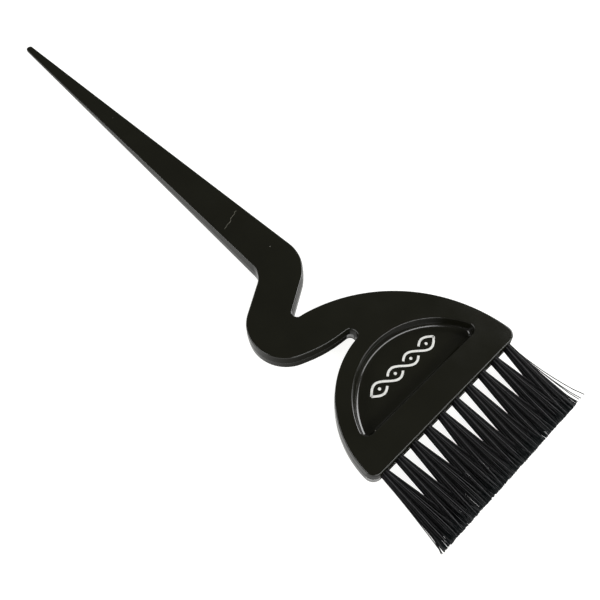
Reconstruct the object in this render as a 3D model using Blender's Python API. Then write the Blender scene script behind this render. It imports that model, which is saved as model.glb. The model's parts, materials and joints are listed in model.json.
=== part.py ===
"""Tint brush: a one-piece moulded handle with ten anchored tufts of bristle.

The brush lies on its flat back. X runs along the row of tufts, Y from the bristles to the tip of
the tail and Z up out of the face. The origin is on the surface it lies on, at the centre of its
box. Lengths are in millimetres until they reach Blender, which takes metres.
"""

import math

import bmesh
import bpy
from mathutils import Matrix, Vector

MM = 0.001

# Row of tufts
TUFT_COUNT = 10
TUFT_PITCH = 5.2
TUFT_HOLE = 3.0
TUFT_HOLE_DEPTH = 6.2
BRISTLE_LENGTH = 22.0
TUFT_TIP_THICKNESS = 3.6
FLARE_LENGTH = 11.0

# Head
END_MARGIN = 1.2
FRONT_CORNER_RADIUS = 2.7
LEFT_SHOULDER_RISE = 1.8
RIGHT_SHOULDER_EXTRA = 17.8
PLATE_THICKNESS = 6.0
EDGE_RADIUS = 0.4

# Sunken panel in the face of the head
PANEL_RIM = 4.6
PANEL_DEPTH = 3.4
PANEL_CORNER_RADIUS = 1.9
PANEL_DRAFT = 0.3
PANEL_FLOOR_FILLET = 1.4
PANEL_RIM_FILLET = 0.35
HOLE_END_WALL = 2.0

# Cranked neck
NOTCH_ANGLE = math.radians(82.8)
NOTCH_RADIUS = 1.3
NECK_ANGLE = math.radians(31.7)
NECK_WIDTH = 11.6
NECK_OUTER_RADIUS = 12.0
NECK_INNER_RADIUS = 5.9
HEEL_ANGLE = math.radians(22.4)
HEEL_RADIUS = 10.7
SLOT_END = -1.9
SLOT_WIDTH = 3.1
SLOT_END_RADIUS = 1.4
SLOT_ROOF = 8.6
SLOT_ROOF_ANGLE = math.radians(5.5)
SLOT_ROOF_RADIUS = 36.0

# Tail
TAIL_AXIS = -1.1
TAIL_ROOT_RISE = 17.4
TAIL_ROOT_WIDTH = 12.5
TAIL_LENGTH = 124.0
TAIL_TIP_WIDTH = 2.1
TAIL_TIP_THICKNESS = 1.2
TAIL_TAPER_POWER = 1.3
TAIL_STATIONS = 9

# Anchors that hold the folded tufts
ANCHOR_BITE = 0.3
ANCHOR_THICKNESS = 0.4
ANCHOR_DEPTH = 1.4
ANCHOR_FROM_END = 1.3

# Clearances
GAP = 0.3
BUNDLE_CLEARANCE = 0.15
ANCHOR_CLEARANCE = 0.1

# How far past a face its cutter reaches, and how far above the face the panel's rim fillet ends
CUT_OVERSHOOT = 1.0
RIM_LIFT = 0.02

# How many reaches of a rounded corner its shoulder arc stops short, so that the two never meet
SHOULDER_EASE = 1.3

# Share of the tail tip's half width that its corners are rounded by
TIP_ROUNDING = 0.9

# The most of a straight run that the fillet at its end may take
FILLET_SHARE = 0.95

# Fineness of the round stretches, and the sharpest bend that is still shaded smooth
ARC_STEP = math.radians(9.0)
LONG_ARC_STEP = math.radians(4.0)
HOLE_SIDES = 20
SMOOTH_ANGLE = math.radians(30.0)
WELD = 0.005

# Worked out from the sizes above
HEAD_HALF_WIDTH = TUFT_COUNT * TUFT_PITCH / 2 + END_MARGIN
RIGHT_SHOULDER_RADIUS = HEAD_HALF_WIDTH + RIGHT_SHOULDER_EXTRA
TAIL_ROOT = RIGHT_SHOULDER_RADIUS * math.sin(NOTCH_ANGLE) + TAIL_ROOT_RISE
PANEL_CHORD = TUFT_HOLE_DEPTH + HOLE_END_WALL
MID_HEIGHT = PLATE_THICKNESS / 2
HINGE_REACH = TUFT_HOLE / 2 + GAP
TAIL_END = TAIL_ROOT + TAIL_LENGTH
CENTRE_Y = (TAIL_END - BRISTLE_LENGTH) / 2


def material(name, colour, roughness, metallic=0.0):
    """A Principled material of one colour."""
    made = bpy.data.materials.new(name)
    made.use_nodes = True
    shader = made.node_tree.nodes["Principled BSDF"]
    shader.inputs["Base Color"].default_value = (*colour, 1.0)
    shader.inputs["Roughness"].default_value = roughness
    shader.inputs["Metallic"].default_value = metallic
    return made


def add_mesh(name, mesh, collection, finish=None):
    """An object of this mesh, shaded smooth between its sharp edges."""
    obj = bpy.data.objects.new(name, mesh)
    collection.objects.link(obj)
    mesh.shade_smooth()
    mesh.set_sharp_from_angle(angle=SMOOTH_ANGLE)
    if finish is not None:
        mesh.materials.clear()
        mesh.materials.append(finish)
    return obj


def add_cutter(name, bm, collection):
    """A closed bmesh as a hidden object that cuts others."""
    bmesh.ops.recalc_face_normals(bm, faces=bm.faces)
    mesh = bpy.data.meshes.new(name)
    bm.to_mesh(mesh)
    bm.free()
    obj = add_mesh(name, mesh, collection)
    obj.hide_render = True
    obj.display_type = "WIRE"
    return obj


def cut(obj, cutter):
    """Takes the cutter's shape out of the object with a Boolean modifier."""
    modifier = obj.modifiers.new(cutter.name, "BOOLEAN")
    modifier.operation = "DIFFERENCE"
    modifier.object = cutter


def heading(angle):
    """The unit vector at this angle from +X."""
    return Vector((math.cos(angle), math.sin(angle)))


def meet(start, angle, other_start, other_angle):
    """Where two lines cross, each given by a point and its angle from +X."""
    along, across = heading(angle), heading(other_angle)
    gap = other_start - start
    share = gap.cross(across) / along.cross(across)
    return start + along * share


def arc(centre, radius, first, last, step=ARC_STEP):
    """Points on an arc from the first angle to the last."""
    count = max(2, math.ceil(abs(last - first) / step))
    return [centre + heading(first + (last - first) * i / count) * radius for i in range(count + 1)]


def rounded(before, corner, after, radius):
    """Points of the arc that rounds a corner between two straight runs."""
    inward, outward = (before - corner).normalized(), (after - corner).normalized()
    half_angle = inward.angle(outward) / 2
    centre = corner + (inward + outward).normalized() * radius / math.sin(half_angle)
    reach = radius / math.tan(half_angle)
    first, last = corner + inward * reach - centre, corner + outward * reach - centre
    start = math.atan2(first.y, first.x)
    turn = -first.angle_signed(last)
    return arc(centre, radius, start, start + turn)


def outline(corners):
    """A closed run of points. Each corner is a point and its radius, and none where it stays sharp."""
    points = []
    for i, (corner, radius) in enumerate(corners):
        if radius:
            points += rounded(corners[i - 1][0], corner, corners[(i + 1) % len(corners)][0], radius)
        else:
            points.append(corner)
    return points


def handle_outline():
    """The plan of the moulding, anticlockwise from the right end of the bristle edge."""
    half = HEAD_HALF_WIDTH
    right_centre = Vector((half - RIGHT_SHOULDER_RADIUS, 0))
    notch = right_centre + heading(NOTCH_ANGLE) * RIGHT_SHOULDER_RADIUS
    shoulder_start = SHOULDER_EASE * FRONT_CORNER_RADIUS / RIGHT_SHOULDER_RADIUS
    notch_reach = NOTCH_RADIUS / math.tan((NECK_ANGLE - NOTCH_ANGLE + math.pi / 2) / 2)
    shoulder_end = NOTCH_ANGLE - SHOULDER_EASE * notch_reach / RIGHT_SHOULDER_RADIUS
    right_shoulder = arc(right_centre, RIGHT_SHOULDER_RADIUS, shoulder_start, shoulder_end, LONG_ARC_STEP)

    root_half, tip_half = TAIL_ROOT_WIDTH / 2, TAIL_TIP_WIDTH / 2
    lean = math.atan((root_half - tip_half) / TAIL_LENGTH)
    right_root = Vector((TAIL_AXIS + root_half, TAIL_ROOT))
    left_root = Vector((TAIL_AXIS - root_half, TAIL_ROOT))
    right_angle, left_angle = math.pi / 2 + lean, math.pi / 2 - lean
    neck_left = notch + heading(NECK_ANGLE + math.pi / 2) * NECK_WIDTH
    outer_bend = meet(notch, NECK_ANGLE, right_root, right_angle)
    inner_bend = meet(neck_left, NECK_ANGLE, left_root, left_angle)
    tip_radius = TIP_ROUNDING * tip_half
    tip_right = Vector((TAIL_AXIS + tip_half, TAIL_END))
    tip_left = Vector((TAIL_AXIS - tip_half, TAIL_END))

    left_centre = Vector((0, LEFT_SHOULDER_RISE))
    slot_floor_angle = math.acos(SLOT_END / half)
    slot_floor = left_centre + heading(slot_floor_angle) * half
    slot_top = slot_floor + Vector((0, SLOT_WIDTH))
    roof_end = slot_top + heading(math.pi - SLOT_ROOF_ANGLE) * SLOT_ROOF
    heel = meet(roof_end, -HEEL_ANGLE, neck_left, NECK_ANGLE)
    heel_reach = HEEL_RADIUS / math.tan((HEEL_ANGLE + NECK_ANGLE) / 2)
    roof_room = FILLET_SHARE * ((heel - roof_end).length - heel_reach)
    roof_radius = min(SLOT_ROOF_RADIUS, roof_room / math.tan((HEEL_ANGLE - SLOT_ROOF_ANGLE) / 2))
    slot_radius = min(SLOT_END_RADIUS, FILLET_SHARE * SLOT_WIDTH / 2)
    floor_start = slot_floor_angle + 2 * slot_radius / half
    left_shoulder = arc(left_centre, half, floor_start, math.pi, LONG_ARC_STEP)

    corners = [(Vector((half, 0)), FRONT_CORNER_RADIUS)]
    corners += [(point, 0) for point in right_shoulder]
    corners += [
        (notch, NOTCH_RADIUS),
        (outer_bend, NECK_OUTER_RADIUS),
        (tip_right, tip_radius),
        (tip_left, tip_radius),
        (inner_bend, NECK_INNER_RADIUS),
        (heel, HEEL_RADIUS),
        (roof_end, roof_radius),
        (slot_top, slot_radius),
        (slot_floor, slot_radius),
    ]
    corners += [(point, 0) for point in left_shoulder[:-1]]
    corners += [(Vector((-half, 0)), FRONT_CORNER_RADIUS)]
    return outline(corners)


def tail_share(y):
    """The share of the plate's thickness that the tail keeps at this distance from the front edge."""
    done = min(max((y - TAIL_ROOT) / TAIL_LENGTH, 0.0), 1.0)
    tip_share = TAIL_TIP_THICKNESS / PLATE_THICKNESS
    return tip_share + (1 - tip_share) * (1 - done) ** TAIL_TAPER_POWER


def plate_mesh():
    """The handle's plate: its plan with rounded edges, thinned along the tail towards its mid-plane."""
    curve = bpy.data.curves.new("handle_plan", "CURVE")
    curve.dimensions = "2D"
    curve.fill_mode = "BOTH"
    curve.extrude = (MID_HEIGHT - EDGE_RADIUS) * MM
    curve.bevel_depth = EDGE_RADIUS * MM
    curve.bevel_resolution = 1
    curve.offset = -EDGE_RADIUS * MM
    points = handle_outline()
    spline = curve.splines.new("POLY")
    spline.points.add(len(points) - 1)
    for place, point in zip(spline.points, points):
        place.co = (point.x * MM, point.y * MM, 0, 1)
    spline.use_cyclic_u = True
    guide = bpy.data.objects.new("handle_plan", curve)
    bpy.context.scene.collection.objects.link(guide)
    bpy.context.view_layer.update()
    graph = bpy.context.evaluated_depsgraph_get()
    mesh = bpy.data.meshes.new_from_object(guide.evaluated_get(graph))
    bpy.data.objects.remove(guide)

    bm = bmesh.new()
    bm.from_mesh(mesh)
    bmesh.ops.remove_doubles(bm, verts=bm.verts, dist=WELD * MM)
    for station in range(TAIL_STATIONS):
        y = TAIL_ROOT + TAIL_LENGTH * station / TAIL_STATIONS
        bmesh.ops.bisect_plane(
            bm, geom=[*bm.verts, *bm.edges, *bm.faces], plane_co=(0, y * MM, 0), plane_no=(0, 1, 0)
        )
    for vert in bm.verts:
        vert.co.z = vert.co.z * tail_share(vert.co.y / MM) + MID_HEIGHT * MM
    bmesh.ops.recalc_face_normals(bm, faces=bm.faces)
    bm.to_mesh(mesh)
    bm.free()
    return mesh


def panel_section(inset):
    """The panel's half-moon outline, drawn in by this much. Its corner centres stay where they are."""
    centre = Vector((0, LEFT_SHOULDER_RISE))
    radius = HEAD_HALF_WIDTH - PANEL_RIM
    reach = radius - PANEL_CORNER_RADIUS
    rise = PANEL_CHORD + PANEL_CORNER_RADIUS - LEFT_SHOULDER_RISE
    start = math.asin(rise / reach)
    right = centre + heading(start) * reach
    left = Vector((-right.x, right.y))
    corner = PANEL_CORNER_RADIUS - inset
    points = arc(centre, radius - inset, start, math.pi - start, LONG_ARC_STEP)
    points += arc(left, corner, math.pi - start, 1.5 * math.pi, 2 * ARC_STEP)[1:]
    points += arc(right, corner, 1.5 * math.pi, 2 * math.pi + start, 2 * ARC_STEP)[:-1]
    return points


def loft(sections):
    """A closed bmesh through sections of equal count, each a list of corners."""
    bm = bmesh.new()
    rings = [[bm.verts.new(corner * MM) for corner in section] for section in sections]
    for lower, upper in zip(rings, rings[1:]):
        for i in range(len(lower)):
            bm.faces.new((lower[i - 1], lower[i], upper[i], upper[i - 1]))
    bm.faces.new(list(reversed(rings[0])))
    bm.faces.new(rings[-1])
    return bm


def panel_cutter(collection):
    """The hollow of the panel: a filleted floor, walls with draft and a rounded rim."""
    floor = PLATE_THICKNESS - PANEL_DEPTH
    profile = []
    for share in (0.0, 0.25, 0.5, 0.75, 1.0):
        angle = share * math.pi / 2
        inset = PANEL_DRAFT + PANEL_FLOOR_FILLET * (1 - math.sin(angle))
        profile.append((inset, floor + PANEL_FLOOR_FILLET * (1 - math.cos(angle))))
    rim_end = PLATE_THICKNESS + RIM_LIFT
    for share in (0.0, 0.5, 1.0):
        angle = share * math.pi / 2
        inset = -PANEL_RIM_FILLET * (1 - math.cos(angle))
        profile.append((inset, rim_end - PANEL_RIM_FILLET * (1 - math.sin(angle))))
    profile.append((-PANEL_RIM_FILLET, PLATE_THICKNESS + CUT_OVERSHOOT))
    sections = [[point.to_3d() + Vector((0, 0, z)) for point in panel_section(inset)] for inset, z in profile]
    return add_cutter("panel_cutter", loft(sections), collection)


def tuft_places():
    """The x of each tuft, from -X to +X."""
    first = -TUFT_PITCH * (TUFT_COUNT - 1) / 2
    return [first + TUFT_PITCH * i for i in range(TUFT_COUNT)]


def along_y(x, near, far):
    """The transform that lays a unit Z cylinder along Y at this x, between two distances."""
    turn = Matrix.Rotation(math.pi / 2, 4, "X")
    place = Matrix.Translation(Vector((x, (near + far) / 2, MID_HEIGHT)) * MM)
    return place @ turn @ Matrix.Diagonal((1, 1, far - near, 1))


def add_cylinder(bm, x, near, far, diameter):
    """A cylinder along Y in the mid-plane of the plate."""
    bmesh.ops.create_cone(
        bm,
        cap_ends=True,
        segments=HOLE_SIDES,
        radius1=diameter / 2 * MM,
        radius2=diameter / 2 * MM,
        depth=MM,
        matrix=along_y(x, near, far),
    )


def anchor_box(bm, x, clearance):
    """The box of one anchor, larger by the clearance all round."""
    far = TUFT_HOLE_DEPTH - ANCHOR_FROM_END
    size = (TUFT_HOLE + 2 * ANCHOR_BITE, ANCHOR_DEPTH, ANCHOR_THICKNESS)
    size = [(side + 2 * clearance) * MM for side in size]
    place = Matrix.Translation(Vector((x, far - ANCHOR_DEPTH / 2, MID_HEIGHT)) * MM)
    bmesh.ops.create_cube(bm, size=1.0, matrix=place @ Matrix.Diagonal((*size, 1)))


def add_handle(collection, cutters, finish):
    """The moulding: plate, sunken panel, and a blind hole with anchor pockets for each tuft."""
    handle = add_mesh("handle_moulding", plate_mesh(), collection, finish)
    cut(handle, panel_cutter(cutters))
    holes, pockets = bmesh.new(), bmesh.new()
    for x in tuft_places():
        add_cylinder(holes, x, -CUT_OVERSHOOT, TUFT_HOLE_DEPTH, TUFT_HOLE)
        anchor_box(pockets, x, ANCHOR_CLEARANCE)
    cut(handle, add_cutter("tuft_hole_cutter", holes, cutters))
    cut(handle, add_cutter("anchor_pocket_cutter", pockets, cutters))
    return handle


def add_root(number, x, collection, cutters, finish):
    """The folded end of a tuft inside its hole, with the window that its anchor passes through."""
    bm, window = bmesh.new(), bmesh.new()
    diameter = TUFT_HOLE - 2 * BUNDLE_CLEARANCE
    add_cylinder(bm, x, 0.0, TUFT_HOLE_DEPTH - BUNDLE_CLEARANCE, diameter)
    anchor_box(window, x, ANCHOR_CLEARANCE)
    mesh = bpy.data.meshes.new(f"tuft_root_{number:02d}")
    bm.to_mesh(mesh)
    bm.free()
    root = add_mesh(mesh.name, mesh, collection, finish)
    cut(root, add_cutter(f"root_window_{number:02d}", window, cutters))


def add_anchor(number, x, collection, finish):
    """The flat wire staple across the hole that the tuft is folded round."""
    bm = bmesh.new()
    anchor_box(bm, x, 0.0)
    mesh = bpy.data.meshes.new(f"tuft_anchor_{number:02d}")
    bm.to_mesh(mesh)
    bm.free()
    add_mesh(mesh.name, mesh, collection, finish)


def tuft_profile():
    """The half width, y and half height at each station of a free tuft, from its round heel to its tip."""
    root_half = TUFT_HOLE / 2
    full_half = (TUFT_PITCH - GAP) / 2
    reach = BRISTLE_LENGTH - HINGE_REACH
    stations = []
    for degrees in (15, 30, 45, 60, 75):
        angle = math.radians(degrees)
        stations.append((root_half, root_half * math.cos(angle), root_half * math.sin(angle)))
    for out in (0.0, FLARE_LENGTH / 2, FLARE_LENGTH, reach):
        half_width = root_half + (full_half - root_half) * min(out / FLARE_LENGTH, 1.0)
        half_height = root_half + (TUFT_TIP_THICKNESS / 2 - root_half) * out / reach
        stations.append((half_width, -out, half_height))
    return stations


def tuft_mesh():
    """The free part of a tuft about its hinge: a round heel, then a flare to the width of its pitch."""
    corners = ((-1, -1), (1, -1), (1, 1), (-1, 1))
    sections = []
    for half_width, y, half_height in tuft_profile():
        sections.append([Vector((sx * half_width, y, sz * half_height)) for sx, sz in corners])
    bm = loft(sections)
    bmesh.ops.recalc_face_normals(bm, faces=bm.faces)
    mesh = bpy.data.meshes.new("tuft")
    bm.to_mesh(mesh)
    bm.free()
    return mesh


def add_tuft(number, x, mesh, collection, finish):
    """The free part of one tuft, with its origin on the line it flexes about."""
    tuft = add_mesh(f"tuft_{number:02d}", mesh.copy(), collection, finish)
    tuft.location = Vector((x, -HINGE_REACH, MID_HEIGHT)) * MM


def main():
    """Clears the scene, then builds the handle and the ten tufts with their roots and anchors."""
    for obj in list(bpy.data.objects):
        bpy.data.objects.remove(obj)
    brush = bpy.data.collections.new("tint_brush")
    cutters = bpy.data.collections.new("cutters")
    for collection in (brush, cutters):
        bpy.context.scene.collection.children.link(collection)

    moulded = material("black_moulded_abs", (0.012, 0.012, 0.010), 0.18)
    bristle = material("black_nylon_bristle", (0.010, 0.010, 0.010), 0.42)
    wire = material("nickel_plated_wire", (0.62, 0.60, 0.56), 0.30, 1.0)

    add_handle(brush, cutters, moulded)
    shared = tuft_mesh()
    for number, x in enumerate(tuft_places(), start=1):
        add_root(number, x, brush, cutters, bristle)
        add_anchor(number, x, brush, wire)
        add_tuft(number, x, shared, brush, bristle)
    bpy.data.meshes.remove(shared)
    for obj in (*brush.objects, *cutters.objects):
        obj.location.y -= CENTRE_Y * MM


main()
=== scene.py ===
"""Looks of the tint brush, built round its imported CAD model.

The brush lies on its back on a pale table: a black injection-moulded handle, ten tufts of folded
black nylon filament on their wire anchors, and a small pad-printed plait in the sunken panel.
Sizes are in millimetres on the brush's own plan, whose origin is the middle of the bristle edge at
the height of the table. Plan.point turns them into the frame's metres.
"""

import json
import logging
import math
import random
from dataclasses import dataclass
from enum import Enum
from typing import Any, Iterable, Sequence

import bmesh
import bpy
from bmesh.types import BMesh
from bpy.types import Material, Node, NodeSocket, NodeTree, Object
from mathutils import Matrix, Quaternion, Vector


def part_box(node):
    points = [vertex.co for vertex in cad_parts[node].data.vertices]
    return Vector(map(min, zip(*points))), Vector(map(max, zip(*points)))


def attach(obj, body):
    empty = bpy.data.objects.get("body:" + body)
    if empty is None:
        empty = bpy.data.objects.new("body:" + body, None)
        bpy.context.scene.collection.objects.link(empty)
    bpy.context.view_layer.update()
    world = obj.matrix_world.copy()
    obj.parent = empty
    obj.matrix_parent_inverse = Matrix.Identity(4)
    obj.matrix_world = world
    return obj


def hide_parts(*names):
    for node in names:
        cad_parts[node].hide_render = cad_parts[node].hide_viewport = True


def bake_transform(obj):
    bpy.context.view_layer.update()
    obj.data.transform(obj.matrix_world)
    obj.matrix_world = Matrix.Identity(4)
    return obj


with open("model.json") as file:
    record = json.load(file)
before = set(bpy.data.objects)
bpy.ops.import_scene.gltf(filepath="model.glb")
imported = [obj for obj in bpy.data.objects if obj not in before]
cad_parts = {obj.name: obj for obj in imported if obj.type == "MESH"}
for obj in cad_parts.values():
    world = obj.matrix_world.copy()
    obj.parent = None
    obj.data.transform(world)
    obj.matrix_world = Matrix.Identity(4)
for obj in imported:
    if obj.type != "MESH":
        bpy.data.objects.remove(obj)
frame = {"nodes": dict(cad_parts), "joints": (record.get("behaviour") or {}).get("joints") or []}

MM = 0.001
LOG = logging.getLogger("tint_brush")

Section = list[Vector]


class Slot(Enum):
    """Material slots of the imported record."""

    HANDLE = "moulded_handle"
    BRISTLE = "bristle"


class Side(Enum):
    """Which end of the row of tufts a tuft stands at, as a step along X."""

    LEFT = -1
    INNER = 0
    RIGHT = 1


# Small tools


def linear(hex_colour: str) -> tuple[float, float, float, float]:
    """Turns an sRGB colour into the linear values that Blender takes.

    Args:
        hex_colour: Six hex digits, with or without a leading "#".

    Returns:
        Linear red, green, blue and an alpha of 1.
    """
    digits = hex_colour.lstrip("#")
    shares = [int(digits[i : i + 2], 16) / 255 for i in (0, 2, 4)]
    red, green, blue = (s / 12.92 if s <= 0.04045 else ((s + 0.055) / 1.055) ** 2.4 for s in shares)
    return red, green, blue, 1.0


def per_mm(size: float) -> float:
    """Returns the texture scale at which one feature is this many millimetres wide."""
    return 1.0 / (size * MM)


def pick(sockets: Iterable[NodeSocket], key: str | int) -> NodeSocket:
    """Returns the socket with this number or identifier, which tells sockets of one name apart."""
    return next(socket for i, socket in enumerate(sockets) if key in (i, socket.identifier))


def feed(node: Node, inputs: dict[str | int, Any]) -> None:
    """Fills a node's inputs.

    Args:
        node: The node.
        inputs: What each input gets: another node's output, which is linked, or else a value.
    """
    for key, given in inputs.items():
        if isinstance(given, NodeSocket):
            node.id_data.links.new(given, pick(node.inputs, key))
        else:
            pick(node.inputs, key).default_value = given


def add_node(
    tree: NodeTree,
    kind: str,
    inputs: dict[str | int, Any] | None = None,
    out: str | int = 0,
    **settings: Any,
) -> NodeSocket:
    """Adds one node with its settings, values and links.

    Args:
        tree: The node tree that the node goes in.
        kind: Blender's name of the shader node, without its prefix.
        inputs: Values and links by input.
        out: The output that is wanted.
        settings: Attributes of the node itself.

    Returns:
        The wanted output.
    """
    node = tree.nodes.new(f"ShaderNode{kind}")
    for name, value in settings.items():
        setattr(node, name, value)
    feed(node, inputs or {})
    return pick(node.outputs, out)


def new_material(name: str) -> tuple[Material, NodeTree, Node, NodeSocket]:
    """Starts a material.

    Args:
        name: What the real material is.

    Returns:
        The material, its node tree, its surface shader and the object's coordinates.
    """
    made = bpy.data.materials.new(name)
    made.use_nodes = True
    tree = made.node_tree
    return made, tree, tree.nodes["Principled BSDF"], add_node(tree, "TexCoord", out="Object")


def heading(angle: float) -> Vector:
    """Returns the plan vector of length one at this angle from +X."""
    return Vector((math.cos(angle), math.sin(angle)))


def meet(start: Vector, angle: float, other: Vector, other_angle: float) -> Vector:
    """Finds where two lines of the plan cross.

    Args:
        start: A point on the first line.
        angle: The first line's angle from +X.
        other: A point on the second line.
        other_angle: The second line's angle from +X.

    Returns:
        The crossing point.
    """
    along, across = heading(angle), heading(other_angle)
    return start + along * ((other - start).cross(across) / along.cross(across))


def arc(centre: Vector, radius: float, first: float, last: float, step: float) -> Section:
    """Lays points on an arc.

    Args:
        centre: Centre of the arc.
        radius: Its radius.
        first: Angle of its first point.
        last: Angle of its last point.
        step: The largest angle between two points.

    Returns:
        The points, with both ends.
    """
    count = max(2, math.ceil(abs(last - first) / step))
    return [centre + heading(first + (last - first) * i / count) * radius for i in range(count + 1)]


def fillet(before: Vector, corner: Vector, after: Vector, radius: float, step: float) -> Section:
    """Rounds a corner between two straight runs.

    Args:
        before: A point on the run that arrives.
        corner: The sharp corner.
        after: A point on the run that leaves.
        radius: Radius of the rounding.
        step: The largest angle between two points.

    Returns:
        The points of the rounding arc.
    """
    inward, outward = (before - corner).normalized(), (after - corner).normalized()
    half_angle = inward.angle(outward) / 2
    centre = corner + (inward + outward).normalized() * radius / math.sin(half_angle)
    reach = radius / math.tan(half_angle)
    first, last = corner + inward * reach - centre, corner + outward * reach - centre
    start = math.atan2(first.y, first.x)
    return arc(centre, radius, start, start - first.angle_signed(last), step)


def inset(points: Section, depth: float) -> Section:
    """Draws a closed anticlockwise outline in, each point along its own mitre.

    Args:
        points: The outline.
        depth: How far in, or out where it is negative.

    Returns:
        The new outline, point for point.
    """
    moved = []
    for i, point in enumerate(points):
        arriving = (point - points[i - 1]).normalized()
        leaving = (points[(i + 1) % len(points)] - point).normalized()
        along = (arriving + leaving).normalized()
        mitre = Vector((-along.y, along.x)) / max(0.5, along.dot(leaving))
        moved.append(point + mitre * depth)
    return moved


def quarter_turn(steps: int) -> list[tuple[float, float]]:
    """Returns the distances of a rounding of radius 1 from its two tangents, in equal steps."""
    angles = [i / steps * math.pi / 2 for i in range(steps + 1)]
    return [(1 - math.sin(angle), 1 - math.cos(angle)) for angle in angles]


def add_solid(bm: BMesh, sections: Sequence[Section], smooth: bool = False) -> None:
    """Adds a closed solid through sections of equal count.

    Args:
        bm: The mesh that the solid goes in.
        sections: Rings of corners, from one end face to the other.
        smooth: Whether the faces between the sections are shaded as one round surface.
    """
    rings = [[bm.verts.new(corner) for corner in section] for section in sections]
    for near, far in zip(rings, rings[1:]):
        for k in range(len(near)):
            bm.faces.new((near[k - 1], near[k], far[k], far[k - 1])).smooth = smooth
    bm.faces.new(list(reversed(rings[0])))
    bm.faces.new(rings[-1])


def loft(sections: Sequence[Section]) -> BMesh:
    """Returns a new mesh with one closed solid through these sections, facing out."""
    bm = bmesh.new()
    add_solid(bm, sections)
    bmesh.ops.recalc_face_normals(bm, faces=bm.faces)
    return bm


def add_tube(bm: BMesh, path: Section, radius: float, sides: int) -> None:
    """Adds a closed tube along a path, with flat cut ends.

    Args:
        bm: The mesh that the tube goes in.
        path: Points in metres.
        radius: Radius of the tube in metres.
        sides: Corners of its cross-section.
    """
    tangent = (path[1] - path[0]).normalized()
    normal = tangent.orthogonal().normalized()
    turns = [2 * math.pi * k / sides for k in range(sides)]
    sections = []
    for i, point in enumerate(path):
        ahead = (path[min(i + 1, len(path) - 1)] - path[max(i - 1, 0)]).normalized()
        normal = tangent.rotation_difference(ahead) @ normal
        tangent = ahead
        across = tangent.cross(normal)
        around = [normal * math.cos(turn) + across * math.sin(turn) for turn in turns]
        sections.append([point + spoke * radius for spoke in around])
    add_solid(bm, sections, smooth=True)


def add_piece(name: str, bm: BMesh, finish: Material | None = None) -> Object:
    """Turns a bmesh into an object of the scene and frees it.

    Args:
        name: Name of the object and its mesh.
        bm: The mesh, in the frame's metres.
        finish: Its material, or None for a cutter.

    Returns:
        The new object.
    """
    mesh = bpy.data.meshes.new(name)
    bm.to_mesh(mesh)
    bm.free()
    if finish is not None:
        mesh.materials.append(finish)
    obj = bpy.data.objects.new(name, mesh)
    bpy.context.scene.collection.objects.link(obj)
    return obj


def carve(obj: Object, cutters: Iterable[Object]) -> None:
    """Takes each cutter's shape out of an object for good, and removes the cutters.

    Args:
        obj: The piece that is cut.
        cutters: Closed solids.
    """
    cutters = list(cutters)
    for cutter in cutters:
        modifier = obj.modifiers.new(cutter.name, "BOOLEAN")
        modifier.operation = "DIFFERENCE"
        modifier.object = cutter
    bpy.context.view_layer.update()
    evaluated = obj.evaluated_get(bpy.context.evaluated_depsgraph_get())
    mesh = bpy.data.meshes.new_from_object(evaluated)
    obj.modifiers.clear()
    obj.data = mesh
    for cutter in cutters:
        bpy.data.objects.remove(cutter)


# Finishes


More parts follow.
